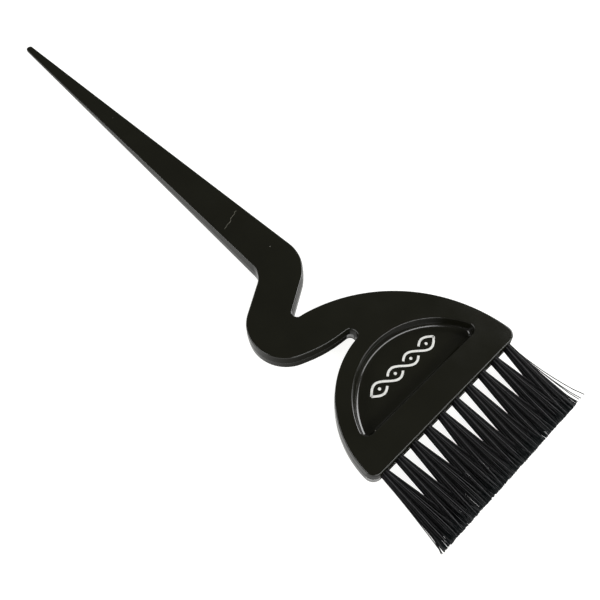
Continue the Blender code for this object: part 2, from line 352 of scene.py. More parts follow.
@dataclass(frozen=True)
class BlackMouldedAbs:
    """ABS, injection-moulded against a polished steel tool and coloured black right through.

    The polish gives a wet, near-black face that turns bright only along its edges and where it meets
    the light at a slant. The melt leaves a faint ripple, and handling a few hairline scratches, which
    are drawn wider than real ones so that they show.
    """

    deep: str = "#0f0f0a"
    pale: str = "#15150f"
    weld_colour: str = "#57564e"
    speck_colour: str = "#8d8c84"
    ior: float = 1.53
    polish: float = 0.11
    smudged: float = 0.19
    mottle_mm: float = 9.0
    smudge_mm: float = 13.0
    ripple_mm: float = 2.2
    ripple_height_mm: float = 0.0016
    scratch_mm: float = 0.22
    scratch_height_mm: float = 0.0006
    scratch_lean: float = math.radians(12.0)
    speck_spacing_mm: float = 6.5
    speck_share: float = 0.022
    weld_width_mm: float = 0.16
    weld_reach_mm: float = 3.6
    weld_lean: float = 0.36
    weld_wave_mm: float = 1.7
    weld_sway_mm: float = 1.5
    # painted shade: the side and front wall levels darken the walls by cutting their reflection
    face_level: float = 0.45
    side_shade_level: float = 0.035
    front_shade_level: float = 0.0

    def colour(self, tree: NodeTree, place: NodeSocket, weld: Vector) -> NodeSocket:
        """Lays the body colour: a slow mottle, a few dust specks and one weld line.

        Args:
            tree: The material's nodes.
            place: The object's coordinates.
            weld: Where the weld line crosses the tail, in metres.

        Returns:
            The colour.
        """
        mottle = add_node(
            tree, "TexNoise", {"Vector": place, "Scale": per_mm(self.mottle_mm), "Detail": 3.0}
        )
        cells = add_node(tree, "TexVoronoi", {"Vector": place, "Scale": per_mm(self.speck_spacing_mm)})
        speck = add_node(tree, "Math", {0: cells, 1: self.speck_share}, operation="LESS_THAN")
        line = self.weld_line(tree, place, weld)
        shown: Any = linear(self.deep)
        for share, colour in ((mottle, self.pale), (speck, self.speck_colour), (line, self.weld_colour)):
            layer = {"Factor_Float": share, "A_Color": shown, "B_Color": linear(colour)}
            shown = add_node(tree, "Mix", layer, "Result_Color", data_type="RGBA")
        return shown

    def weld_line(self, tree: NodeTree, place: NodeSocket, weld: Vector) -> NodeSocket:
        """Draws the fine wavy line where two fronts of melt met in the root of the tail.

        Args:
            tree: The material's nodes.
            place: The object's coordinates.
            weld: A point of the line, in metres.

        Returns:
            A share that is highest on the line.
        """
        reach, width, sway = self.weld_reach_mm * MM, self.weld_width_mm * MM, self.weld_sway_mm * MM
        offset = add_node(tree, "VectorMath", {0: place, 1: weld}, operation="SUBTRACT")
        across, along = (add_node(tree, "SeparateXYZ", {"Vector": offset}, axis) for axis in "XY")
        lean = add_node(tree, "Math", {0: across, 1: self.weld_lean}, operation="MULTIPLY")
        straight = add_node(tree, "Math", {0: along, 1: lean}, operation="SUBTRACT")
        wander = add_node(
            tree, "TexNoise", {"W": across, "Scale": per_mm(self.weld_wave_mm)}, noise_dimensions="1D"
        )
        wave = add_node(tree, "Math", {0: wander, 1: sway, 2: -sway / 2}, operation="MULTIPLY_ADD")
        off = add_node(tree, "Math", {0: straight, 1: wave}, operation="SUBTRACT")
        away = add_node(tree, "Math", {0: off}, operation="ABSOLUTE")
        sideways = add_node(tree, "Math", {0: across}, operation="ABSOLUTE")
        ends = {"From Min": 0.3 * width, "From Max": width, "To Min": 1.0, "To Max": 0.0}
        shown = add_node(tree, "MapRange", {"Value": away, **ends})
        ends = {"From Min": 0.8 * reach, "From Max": reach, "To Min": 0.75, "To Max": 0.0}
        end = add_node(tree, "MapRange", {"Value": sideways, **ends})
        normal = add_node(tree, "NewGeometry", out="Normal")
        upward = add_node(tree, "SeparateXYZ", {"Vector": normal}, "Z")
        top = add_node(tree, "Math", {0: upward, 1: 0.9}, operation="GREATER_THAN")
        for share in (end, top):
            shown = add_node(tree, "Math", {0: shown, 1: share}, operation="MULTIPLY")
        return shown

    def painted_wall_shade(self, tree: NodeTree) -> NodeSocket:
        """Returns how strongly each face mirrors, with painted shade on the walls: the face most, the side
        walls less, the front least.
        """
        normal = add_node(tree, "NewGeometry", out="Normal")
        x, z = (add_node(tree, "SeparateXYZ", {"Vector": normal}, axis) for axis in "XZ")
        sideways = add_node(tree, "Math", {0: x, 1: 2.0}, operation="POWER")
        slant = add_node(tree, "Math", {0: z}, operation="ABSOLUTE")
        # painted shade: walls facing along Y mirror nothing and walls facing along X very little, standing
        # in for the shadowed table they would mirror
        ends = {"To Min": self.front_shade_level, "To Max": self.side_shade_level}
        wall = add_node(tree, "MapRange", {"Value": sideways, **ends})
        ends = {"From Min": 0.1, "From Max": 0.35, "To Min": wall, "To Max": self.face_level}
        return add_node(tree, "MapRange", {"Value": slant, **ends})

    def relief(self, tree: NodeTree, place: NodeSocket) -> NodeSocket:
        """Returns the surface's relief: the ripple of the melt under fine scratches.

        Args:
            tree: The material's nodes.
            place: The object's coordinates.
        """
        ripple = add_node(
            tree, "TexNoise", {"Vector": place, "Scale": per_mm(self.ripple_mm), "Detail": 1.0}
        )
        distance = self.ripple_height_mm * MM
        rippled = add_node(tree, "Bump", {"Height": ripple, "Strength": 1.0, "Distance": distance})
        turn = {"Scale": (1.0, 0.03, 1.0), "Rotation": (0.0, 0.0, self.scratch_lean)}
        stretched = add_node(tree, "Mapping", {"Vector": place, **turn})
        hairlines = add_node(
            tree, "TexNoise", {"Vector": stretched, "Scale": per_mm(self.scratch_mm), "Detail": 2.0}
        )
        ends = {"From Min": 0.68, "From Max": 0.76, "To Min": 1.0, "To Max": 0.0}
        deepest = add_node(tree, "MapRange", {"Value": hairlines, **ends})
        cut = {"Strength": 0.6, "Distance": self.scratch_height_mm * MM}
        return add_node(tree, "Bump", {"Height": deepest, "Normal": rippled, **cut})

    def build(self, weld: Vector) -> Material:
        """Makes the material.

        Args:
            weld: Where the weld line crosses the tail, in metres.

        Returns:
            The Blender material.
        """
        made, tree, shader, place = new_material("black_moulded_abs")
        patches = {"Scale": per_mm(self.smudge_mm), "Detail": 5.0, "Roughness": 0.62}
        smudge = add_node(tree, "TexNoise", {"Vector": place, **patches})
        ends = {"From Min": 0.35, "From Max": 0.7, "To Min": self.polish, "To Max": self.smudged}
        feed(
            shader,
            {
                "IOR": self.ior,
                "Base Color": self.colour(tree, place, weld),
                "Roughness": add_node(tree, "MapRange", {"Value": smudge, **ends}),
                # painted shade on the walls, through the specular level
                "Specular IOR Level": self.painted_wall_shade(tree),
                "Normal": self.relief(tree, place),
            },
        )
        return made


@dataclass(frozen=True)
class BlackNylonFilament:
    """Nylon 6 monofilament, drawn through a die and dyed black.

    Each filament is a smooth cylinder, so the tuft shows as many fine grey streaks on black, no two of the
    same strength. The ends were cut with a blade, and a cold, slightly green sheen is painted into the
    colour near them. The die's lines are drawn coarser than real ones so that they show.
    """

    deep: str = "#050506"
    pale: str = "#242426"
    cut_end_sheen: str = "#0a1011"
    ior: float = 1.53
    smooth: float = 0.30
    dull: float = 0.55
    shyest: float = 0.05
    brightest: float = 0.50
    rareness: float = 3.0
    drawn_line_mm: float = 0.09
    drawn_depth_mm: float = 0.004
    sheen_reach_mm: float = 5.0
    sheen_share: float = 0.8

    def build(self, tips: float) -> Material:
        """Makes the material.

        Args:
            tips: The frame's y of the cut ends, in metres.

        Returns:
            The Blender material.
        """
        made, tree, shader, place = new_material("black_nylon_filament")
        strand = add_node(tree, "NewGeometry", out="Random Per Island")
        seldom = add_node(tree, "Math", {0: strand, 1: self.rareness}, operation="POWER")
        along = add_node(tree, "SeparateXYZ", {"Vector": place}, "Y")
        # painted sheen: a cold green tint is mixed into the colour over the last millimetres before the cut
        # ends
        reach = {"From Min": tips, "From Max": tips + self.sheen_reach_mm * MM}
        cut = add_node(tree, "MapRange", {"Value": along, **reach, "To Min": self.sheen_share, "To Max": 0.0})
        shown: Any = linear(self.deep)
        for share, colour in ((seldom, self.pale), (cut, self.cut_end_sheen)):
            layer = {"Factor_Float": share, "A_Color": shown, "B_Color": linear(colour)}
            shown = add_node(tree, "Mix", layer, "Result_Color", data_type="RGBA")
        gloss = {"Value": strand, "To Min": self.smooth, "To Max": self.dull}
        level = {"Value": seldom, "To Min": self.shyest, "To Max": self.brightest}
        stretched = add_node(tree, "Mapping", {"Vector": place, "Scale": (1.0, 0.05, 1.0)})
        drawn = add_node(tree, "TexNoise", {"Vector": stretched, "Scale": per_mm(self.drawn_line_mm)})
        lines = {"Height": drawn, "Strength": 0.5, "Distance": self.drawn_depth_mm * MM}
        feed(
            shader,
            {
                "IOR": self.ior,
                "Base Color": shown,
                "Roughness": add_node(tree, "MapRange", gloss),
                "Specular IOR Level": add_node(tree, "MapRange", level),
                "Normal": add_node(tree, "Bump", lines),
            },
        )
        return made


@dataclass(frozen=True)
class NickelPlatedWire:
    """Mild steel wire, rolled flat, nickel-plated and cropped into anchors.

    The plating gives a warm silver, and the rollers leave fine lines along the wire.
    """

    plate: str = "#cfcabf"
    worn: str = "#a39d90"
    smooth: float = 0.22
    dull: float = 0.40
    line_mm: float = 0.06

    def build(self) -> Material:
        """Returns the Blender material."""
        made, tree, shader, place = new_material("nickel_plated_wire")
        rolled = add_node(tree, "Mapping", {"Vector": place, "Scale": (0.04, 1.0, 1.0)})
        lines = add_node(
            tree, "TexNoise", {"Vector": rolled, "Scale": per_mm(self.line_mm), "Detail": 2.0}
        )
        body = {"Factor_Float": lines, "A_Color": linear(self.plate), "B_Color": linear(self.worn)}
        gloss = {"Value": lines, "To Min": self.smooth, "To Max": self.dull}
        feed(
            shader,
            {
                "Metallic": 1.0,
                "Base Color": add_node(tree, "Mix", body, "Result_Color", data_type="RGBA"),
                "Roughness": add_node(tree, "MapRange", gloss),
            },
        )
        return made


@dataclass(frozen=True)
class PadPrintInk:
    """Two-part ink, laid down by a silicone pad in one pass.

    It dries to a soft light grey that is a little uneven, because the black shows through where the
    film is thin.
    """

    full: str = "#c4c4c0"
    thin: str = "#9d9d99"
    roughness: float = 0.5
    mottle_mm: float = 0.5
    grain_depth_mm: float = 0.01

    def build(self) -> Material:
        """Returns the Blender material."""
        made, tree, shader, place = new_material("pad_print_ink")
        film = add_node(
            tree, "TexNoise", {"Vector": place, "Scale": per_mm(self.mottle_mm), "Detail": 3.0}
        )
        thinness = add_node(tree, "MapRange", {"Value": film, "From Min": 0.5, "From Max": 0.75})
        body = {"Factor_Float": thinness, "A_Color": linear(self.full), "B_Color": linear(self.thin)}
        grain = {"Height": film, "Strength": 0.5, "Distance": self.grain_depth_mm * MM}
        feed(
            shader,
            {
                "Roughness": self.roughness,
                "Base Color": add_node(tree, "Mix", body, "Result_Color", data_type="RGBA"),
                "Normal": add_node(tree, "Bump", grain),
            },
        )
        return made


@dataclass(frozen=True)
class OpalTable:
    """Opal acrylic of a product table, matt on top and lit a little from below.

    It stays a plain white that throws soft light up at the walls of the brush.
    """

    top: str = "#8b8b8a"
    light: str = "#fdfdfb"
    roughness: float = 0.65
    glow: float = 0.93
    grain_mm: float = 0.7
    grain_depth_mm: float = 0.01

    def build(self) -> Material:
        """Returns the Blender material."""
        made, tree, shader, place = new_material("opal_acrylic_table")
        grain = add_node(tree, "TexNoise", {"Vector": place, "Scale": per_mm(self.grain_mm)})
        matt = {"Height": grain, "Strength": 0.2, "Distance": self.grain_depth_mm * MM}
        feed(
            shader,
            {
                "Base Color": linear(self.top),
                "Roughness": self.roughness,
                "Emission Color": linear(self.light),
                "Emission Strength": self.glow,
                "Normal": add_node(tree, "Bump", matt),
            },
        )
        return made


# The brush's own plan


@dataclass(frozen=True)
class Plan:
    """The brush's plan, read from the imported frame.

    Attributes:
        front: The frame's y of the bristle edge, in millimetres.
        tail_end: Distance from the bristle edge to the tip of the tail.
        bristle_end: Distance from the bristle edge to the cut ends.
        thickness: Thickness of the plate.
        tufts: x of each tuft.
    """

    front: float
    tail_end: float
    bristle_end: float
    thickness: float
    tufts: tuple[float, ...]

    @classmethod
    def read(cls) -> "Plan":
        """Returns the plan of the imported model."""
        low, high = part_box("handle_moulding")
        tip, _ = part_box("tuft_01")
        tufts = sorted(joint["pos_m"][0] / MM for joint in frame["joints"])
        return cls(
            front=low.y / MM,
            tail_end=(high.y - low.y) / MM,
            bristle_end=(low.y - tip.y) / MM,
            thickness=high.z / MM,
            tufts=tuple(tufts),
        )

    @property
    def pitch(self) -> float:
        """Distance between two tufts."""
        return self.tufts[1] - self.tufts[0]

    @property
    def middle(self) -> float:
        """Height of the mid-plane of the plate."""
        return self.thickness / 2

    def point(self, x: float, y: float, z: float) -> Vector:
        """Turns a place on the plan into the frame's metres.

        Args:
            x: Millimetres along the row of tufts.
            y: Millimetres from the bristle edge towards the tail.
            z: Millimetres above the table.

        Returns:
            The point in the frame.
        """
        return Vector((x, y + self.front, z)) * MM


@dataclass
class HandleMoulding:
    """The one-piece handle: half-moon head with a sunken panel, cranked neck and long thin tail."""

    plan: Plan
    end_margin: float = 1.2
    front_corner_radius: float = 2.7
    left_shoulder_rise: float = 1.8
    right_shoulder_extra: float = 17.8
    edge_radius: float = 0.4
    panel_rim: float = 4.6
    panel_chord: float = 8.2
    panel_depth: float = 3.4
    panel_corner_radius: float = 1.9
    panel_draft: float = 0.3
    panel_floor_fillet: float = 1.4
    panel_rim_fillet: float = 0.35
    notch_angle: float = math.radians(82.8)
    notch_radius: float = 1.3
    neck_angle: float = math.radians(31.7)
    neck_width: float = 11.6
    neck_outer_radius: float = 12.0
    neck_inner_radius: float = 5.9
    heel_angle: float = math.radians(22.4)
    heel_radius: float = 10.7
    slot_end: float = -1.9
    slot_width: float = 3.1
    slot_end_radius: float = 1.4
    slot_roof: float = 8.6
    slot_roof_angle: float = math.radians(5.5)
    slot_roof_radius: float = 36.0
    tail_axis: float = -1.1
    tail_root_rise: float = 17.4
    tail_root_width: float = 12.5
    tail_tip_width: float = 2.1
    tail_tip_thickness: float = 1.2
    tail_taper_power: float = 1.3
    tail_station: float = 3.0
    tip_rounding: float = 0.9
    shoulder_ease: float = 1.3
    hole_diameter: float = 3.0
    hole_depth: float = 6.2
    hole_chamfer: float = 0.15
    parting_height: float = 0.04
    parting_width: float = 0.1
    wall_draft: float = 0.05
    fine_step: float = math.radians(4.0)
    long_step: float = math.radians(1.6)
    fillet_steps: int = 6
    panel_lift: float = 0.01
    hole_step: float = math.radians(12.0)
    crease: float = math.radians(35.0)

    @property
    def half_width(self) -> float:
        """Half the width of the head."""
        return len(self.plan.tufts) * self.plan.pitch / 2 + self.end_margin

    @property
    def shoulder_radius(self) -> float:
        """Radius of the right shoulder."""
        return self.half_width + self.right_shoulder_extra

    @property
    def tail_root(self) -> float:
        """Where the tail starts to thin."""
        return self.shoulder_radius * math.sin(self.notch_angle) + self.tail_root_rise

    def head_corners(self, notch: Vector, centre: Vector) -> list[tuple[Vector, float]]:
        """Lists the corners of the right side of the head, from the bristle edge to the notch.

        Args:
            notch: Where the right shoulder meets the neck.
            centre: Centre of the right shoulder's arc.

        Returns:
            Corners with their radii, 0 where a corner is already part of an arc.
        """
        radius = self.shoulder_radius
        start = self.shoulder_ease * self.front_corner_radius / radius
        reach = self.notch_radius / math.tan((self.neck_angle - self.notch_angle + math.pi / 2) / 2)
        end = self.notch_angle - self.shoulder_ease * reach / radius
        corners = [(Vector((self.half_width, 0)), self.front_corner_radius)]
        corners += [(point, 0.0) for point in arc(centre, radius, start, end, self.long_step)]
        corners.append((notch, self.notch_radius))
        return corners

    def tail_corners(self, notch: Vector) -> tuple[list[tuple[Vector, float]], Vector]:
        """Lists the corners of the neck's outer bend and the tail.

        Args:
            notch: Where the right shoulder meets the neck.

        Returns:
            The corners with their radii, and a point on the neck's left side.
        """
        root, tip = self.tail_root_width / 2, self.tail_tip_width / 2
        end = self.plan.tail_end
        lean = math.atan((root - tip) / (end - self.tail_root))
        right_root = Vector((self.tail_axis + root, self.tail_root))
        left_root = Vector((self.tail_axis - root, self.tail_root))
        neck_left = notch + heading(self.neck_angle + math.pi / 2) * self.neck_width
        outer = meet(notch, self.neck_angle, right_root, math.pi / 2 + lean)
        inner = meet(neck_left, self.neck_angle, left_root, math.pi / 2 - lean)
        corners = [
            (outer, self.neck_outer_radius),
            (Vector((self.tail_axis + tip, end)), self.tip_rounding * tip),
            (Vector((self.tail_axis - tip, end)), self.tip_rounding * tip),
            (inner, self.neck_inner_radius),
        ]
        return corners, neck_left

    def slot_corners(self, neck_left: Vector) -> list[tuple[Vector, float]]:
        """Lists the corners from the heel of the neck round the finger slot and the left shoulder.

        Args:
            neck_left: A point on the neck's left side.

        Returns:
            Corners with their radii.
        """
        half = self.half_width
        centre = Vector((0, self.left_shoulder_rise))
        floor_angle = math.acos(self.slot_end / half)
        floor = centre + heading(floor_angle) * half
        top = floor + Vector((0, self.slot_width))
        roof = top + heading(math.pi - self.slot_roof_angle) * self.slot_roof
        heel = meet(roof, -self.heel_angle, neck_left, self.neck_angle)
        start = floor_angle + 2 * self.slot_end_radius / half
        end = math.pi - (self.shoulder_ease * self.front_corner_radius - self.left_shoulder_rise) / half
        corners = [
            (heel, self.heel_radius),
            (roof, self.slot_roof_radius),
            (top, self.slot_end_radius),
            (floor, self.slot_end_radius),
        ]
        corners += [(point, 0.0) for point in arc(centre, half, start, end, self.long_step)]
        corners.append((Vector((-half, 0)), self.front_corner_radius))
        return corners

    def outline(self) -> Section:
        """Returns the plan of the moulding, anticlockwise from the right end of the bristle edge."""
        centre = Vector((self.half_width - self.shoulder_radius, 0))
        notch = centre + heading(self.notch_angle) * self.shoulder_radius
        tail, neck_left = self.tail_corners(notch)
        corners = self.head_corners(notch, centre) + tail + self.slot_corners(neck_left)
        points: Section = []
        for i, (corner, radius) in enumerate(corners):
            before, after = corners[i - 1][0], corners[(i + 1) % len(corners)][0]
            points += fillet(before, corner, after, radius, self.fine_step) if radius else [corner]
        return points

    def tail_share(self, y: float) -> float:
        """Returns the share of the plate's thickness that is left at this distance from the front."""
        done = min(max((y - self.tail_root) / (self.plan.tail_end - self.tail_root), 0.0), 1.0)
        tip = self.tail_tip_thickness / self.plan.thickness
        return tip + (1 - tip) * (1 - done) ** self.tail_taper_power

    def wall_profile(self) -> list[tuple[float, float]]:
        """Returns the wall's profile as inset and height over the mid-plane, from back to face.

        Both edges are rounded, the walls draft away from the parting plane, and the two halves of the
        tool leave a fine ridge where they meet.
        """
        half, radius = self.plan.middle, self.edge_radius
        turns = quarter_turn(self.fillet_steps)
        rising = [(radius * off + self.wall_draft, radius * up - half) for off, up in turns]
        rising += [(0.0, -self.parting_width), (-self.parting_height, -self.parting_width / 3)]
        return rising + [(depth, -height) for depth, height in reversed(rising)]

    def blank(self) -> BMesh:
        """Returns the moulding before its panel and holes, thinned along the tail."""
        outline = self.outline()
        sections = []
        for depth, height in self.wall_profile():
            sections.append([Vector((p.x, p.y, height)) for p in inset(outline, depth)])
        bm = loft(sections)
        stations = math.floor((self.plan.tail_end - self.tail_root) / self.tail_station)
        for station in range(stations):
            cut = (0, self.tail_root + self.tail_station * station, 0)
            everything = [*bm.verts, *bm.edges, *bm.faces]
            bmesh.ops.bisect_plane(bm, geom=everything, plane_co=cut, plane_no=(0, 1, 0))
        for vert in bm.verts:
            height = vert.co.z * self.tail_share(vert.co.y) + self.plan.middle
            vert.co = self.plan.point(vert.co.x, vert.co.y, height)
        return bm

    def panel_outline(self, depth: float) -> Section:
        """Draws the sunken panel's half moon, with its corners' centres kept.

        Args:
            depth: How far the outline is drawn in.

        Returns:
            The outline, anticlockwise.
        """
        centre = Vector((0, self.left_shoulder_rise))
        radius = self.half_width - self.panel_rim
        reach = radius - self.panel_corner_radius
        rise = self.panel_chord + self.panel_corner_radius - self.left_shoulder_rise
        start = math.asin(rise / reach)
        right = centre + heading(start) * reach
        left = Vector((-right.x, right.y))
        corner = self.panel_corner_radius - depth
        step = 2 * self.fine_step
        points = arc(centre, radius - depth, start, math.pi - start, self.long_step)
        points += arc(left, corner, math.pi - start, 1.5 * math.pi, step)[1:]
        points += arc(right, corner, 1.5 * math.pi, 2 * math.pi + start, step)[:-1]
        return points

    def panel_cutter(self) -> Object:
        """Returns the panel's hollow: a filleted floor, drafted walls and a rounded rim."""
        floor, top = self.plan.thickness - self.panel_depth, self.plan.thickness
        bottom, rim = self.panel_floor_fillet, self.panel_rim_fillet
        turns = quarter_turn(self.fillet_steps)
        profile = [(self.panel_draft + bottom * off, floor + bottom * up) for off, up in turns]
        profile += [(-rim * up, top + self.panel_lift - rim * off) for off, up in turns]
        profile.append((-rim, top + 1))
        sections = []
        for depth, height in profile:
            sections.append([self.plan.point(p.x, p.y, height) for p in self.panel_outline(depth)])
        return add_piece("panel_cutter", loft(sections))

    def hole_cutter(self, number: int, x: float) -> Object:
        """Makes the blind hole of one tuft, with a small chamfer at its mouth.

        Args:
            number: The tuft's number.
            x: The tuft's place along the row.

        Returns:
            The cutter.
        """
        radius, chamfer = self.hole_diameter / 2, self.hole_chamfer
        mouth = radius + chamfer
        sections = []
        for size, y in ((mouth, -1.0), (mouth, 0.0), (radius, chamfer), (radius, self.hole_depth)):
            ring = arc(Vector((x, self.plan.middle)), size, 0.0, 2 * math.pi, self.hole_step)[:-1]
            sections.append([self.plan.point(p.x, y, p.y) for p in ring])
        return add_piece(f"hole_cutter_{number:02d}", loft(sections))

    def build(self, finish: Material) -> Object:
        """Makes the handle and lets it stand for the CAD moulding.

        Args:
            finish: The handle's material.

        Returns:
            The piece.
        """
        handle = add_piece("handle_shell", self.blank(), finish)
        cutters = [self.panel_cutter()]
        cutters += [self.hole_cutter(i, x) for i, x in enumerate(self.plan.tufts, start=1)]
        carve(handle, cutters)
        handle.data.shade_smooth()
        handle.data.set_sharp_from_angle(angle=self.crease)
        weighted = handle.modifiers.new("even_normals", "WEIGHTED_NORMAL")
        weighted.keep_sharp = True
        weighted.weight = 100
        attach(handle, "handle")
        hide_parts("handle_moulding")
        return handle


@dataclass
class PanelPrint:
    """A two-strand plait with a bead in each loop, printed in the middle of the sunken panel."""

    plan: Plan
    floor: float
    centre_x: float = 0.8
    centre_y: float = 15.7
    length: float = 24.0
    height: float = 4.1
    stroke: float = 0.62
    loops: int = 4
    film: tuple[float, float] = (0.005, 0.03)
    crossing_gap: float = 0.85
    bead_radius: float = 0.42
    bead_step: float = math.radians(15.0)
    steps_per_loop: int = 24

    def strand_height(self, x: float, sign: int) -> float:
        """Returns the height of a strand over the motif's axis.

        Args:
            x: Distance from the left end.
            sign: 1 for the strand that rises first, -1 for the other.
        """
        swing = (self.height - self.stroke) / 2
        return sign * swing * math.sin(math.pi * self.loops * x / self.length)

    def is_under(self, x: float, sign: int) -> bool:
        """Tells whether a strand passes under the other one here.

        Args:
            x: Distance from the left end.
            sign: Which strand.
        """
        loop = self.length / self.loops
        crossing = round(x / loop)
        at_end = crossing in (0, self.loops)
        passes_under = (crossing % 2 == 0) == (sign > 0)
        return not at_end and passes_under and abs(x - crossing * loop) < self.crossing_gap

    def runs(self, sign: int) -> list[Section]:
        """Splits one strand into the stretches that show.

        Args:
            sign: Which strand.

        Returns:
            The centre lines, on the plan.
        """
        count = self.loops * self.steps_per_loop
        found: list[Section] = [[]]
        for i in range(count + 1):
            x = self.length * i / count
            if self.is_under(x, sign):
                if found[-1]:
                    found.append([])
                continue
            y = self.strand_height(x, sign)
            found[-1].append(Vector((self.centre_x + x - self.length / 2, self.centre_y + y)))
        return [run for run in found if len(run) > 1]

    def add_ribbon(self, bm: BMesh, line: Section) -> None:
        """Adds one printed stroke with square ends.

        Args:
            bm: The print's mesh.
            line: The stroke's centre line.
        """
        low, high = self.film
        sections = []
        for i, point in enumerate(line):
            along = (line[min(i + 1, len(line) - 1)] - line[max(i - 1, 0)]).normalized()
            side = Vector((-along.y, along.x)) * self.stroke / 2
            left, right = point + side, point - side
            corners = ((left, low), (right, low), (right, high), (left, high))
            sections.append([self.plan.point(p.x, p.y, self.floor + z) for p, z in corners])
        add_solid(bm, sections)

    def add_bead(self, bm: BMesh, x: float) -> None:
        """Adds one printed dot on the motif's axis.

        Args:
            bm: The print's mesh.
            x: Distance from the left end.
        """
        centre = Vector((self.centre_x + x - self.length / 2, self.centre_y))
        ring = arc(centre, self.bead_radius, 0.0, 2 * math.pi, self.bead_step)[:-1]
        add_solid(bm, [[self.plan.point(p.x, p.y, self.floor + z) for p in ring] for z in self.film])

    def build(self, finish: Material) -> Object:
        """Makes the print.

        Args:
            finish: The ink.

        Returns:
            The piece.
        """
        bm = bmesh.new()
        for sign in (1, -1):
            for line in self.runs(sign):
                self.add_ribbon(bm, line)
        for loop in range(self.loops):
            self.add_bead(bm, self.length * (loop + 0.5) / self.loops)
        bmesh.ops.recalc_face_normals(bm, faces=bm.faces)
        print_layer = add_piece("panel_print", bm, finish)
        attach(print_layer, "handle")
        return print_layer


@dataclass(frozen=True)
class Meeting:
    """Where the edge of a tuft meets its neighbour's, or leans to at an end of the row, on the plan."""

    x: float
    y: float


@dataclass
class Tuft:
    """One tuft: strands of filament folded in two round the anchor, with both ends cut level.

    Attributes:
        plan: The brush's plan.
        number: The tuft's number, from the left.
        left: Where its left edge meets the next tuft.
        right: Where its right edge does.
        side: The end of the row that it stands at.
        oval: Width of the bundle in the hole over its height.
        clump: Strands that stick together and sway as one.
        crossing: Share of its slope that a free end keeps at its tip.
        stray_reach: How far each stray filament's tip stands off the edge.
    """

    plan: Plan
    number: int
    left: Meeting
    right: Meeting
    side: Side = Side.INNER
    strands: int = 88
    diameter: float = 0.2
    sides: int = 5
    bundle_radius: float = 1.33
    oval: float = 0.93
    anchor_near: float = 3.5
    anchor_far: float = 4.9
    anchor_half: float = 0.42
    straight_in: float = 1.6
    loop_least: float = 0.35
    loop_reach: float = 1.0
    meeting_swell: float = 1.1
    tip_half_height: float = 1.75
    tip_squareness: float = 0.8
    clump: int = 6
    clump_sway: float = 0.22
    clump_length: float = 0.32
    own_sway: float = 0.36
    own_length: float = 0.14
    edge_spread: float = 0.70
    rank_shuffle: float = 0.8
    crossing: float = 0.7
    crossing_spread: float = 0.5
    straight_steps: tuple[float, ...] = (0.0, 0.35, 0.7, 1.0)
    tip_steps: tuple[float, ...] = (0.2, 0.4, 0.6, 0.8, 1.0)
    stray_reach: tuple[float, ...] = ()
    stray_diameter: float = 0.25
    stray_bow: float = 1.9
    stray_steps: int = 8

    @property
    def x(self) -> float:
        """The tuft's place along the row."""
        return self.plan.tufts[self.number - 1]

    def point(self, x: float, out: float, height: float) -> Vector:
        """Returns the frame's point at this x, distance out of the handle and height over its mid-plane."""
        return self.plan.point(x, -out, self.plan.middle + height)

    def roots(self) -> list[tuple[float, float]]:
        """Returns each strand's x and height over the mid-plane in the hole, from left to right."""
        golden = math.pi * (3 - math.sqrt(5))
        found = []
        for k in range(self.strands):
            reach = self.bundle_radius * math.sqrt((k + 0.5) / self.strands)
            angle = (golden * k) % math.pi
            found.append((self.oval * reach * math.cos(angle), reach * math.sin(angle)))
        return sorted(found)

    def free_path(self, root: tuple[float, float], rank: float, sign: int, draw: random.Random) -> Section:
        """Lays one free end from the mouth of the hole to its cut tip.

        It runs straight to the line between the two points where the tuft meets its neighbours. Past
        that it still leans on, but less and less, because the neighbours' filaments lie against it.

        Args:
            root: The strand's x and height over the mid-plane in the hole.
            rank: Its place across the tuft, from -1 to 1.
            sign: 1 for the upper end of the strand, -1 for the lower.
            draw: The tuft's random numbers.

        Returns:
            Points on the frame, from the mouth to the tip.
        """
        share = (rank + 1) / 2
        meet_x = self.left.x + (self.right.x - self.left.x) * share
        meet_y = self.left.y + (self.right.y - self.left.y) * share
        clump = math.floor(share * self.strands / self.clump)
        sway = random.Random(self.number * 1000 + clump * 2 + (sign > 0))
        aside = sway.uniform(-1, 1) * self.clump_sway + draw.uniform(-1, 1) * self.own_sway
        aside += self.edge_spread * rank**3
        shorter = sway.uniform(0, 1) * self.clump_length + draw.uniform(0, 1) * self.own_length
        slope = (meet_x - self.x - root[0]) / meet_y
        left_over = self.plan.bristle_end - shorter - meet_y
        kept = self.crossing + draw.uniform(-self.crossing_spread, self.crossing_spread)
        fullness = abs(root[1]) / math.sqrt(max(self.bundle_radius**2 - root[0] ** 2, 0.04))
        tip_z = sign * self.tip_half_height * min(fullness, 1.0) ** self.tip_squareness
        meet_z = sign * abs(root[1]) * self.meeting_swell
        points = []
        for out in self.straight_steps:
            y = meet_y * out
            z = sign * root[1] + (meet_z - sign * root[1]) * out
            points.append(self.point(self.x + root[0] + slope * y, y, z))
        for out in self.tip_steps:
            more = left_over * out
            lean = slope * (more - (1 - kept) * more * more / left_over)
            z = meet_z + (tip_z - meet_z) * out
            points.append(self.point(meet_x + lean + aside * out * out, meet_y + more, z))
        return points

    def stray_path(self, reach: float, draw: random.Random) -> Section:
        """Lays one filament that has sprung away from the end of the row.

        Args:
            reach: How far its tip stands off the tuft's edge.
            draw: The tuft's random numbers.

        Returns:
            Points on the frame, from the mouth to the tip.
        """
        edge = self.right if self.side is Side.RIGHT else self.left
        start = self.x + self.side.value * self.bundle_radius * 0.9
        height = draw.uniform(-0.6, 0.9)
        length = self.plan.bristle_end - draw.uniform(0.1, 0.8)
        points = []
        for i in range(self.stray_steps + 1):
            share = i / self.stray_steps
            leaning = start + (edge.x - start) * min(length * share / edge.y, 1.3)
            off = self.side.value * reach * share**self.stray_bow
            points.append(self.point(leaning + off, length * share, height * (0.4 + share)))
        return points

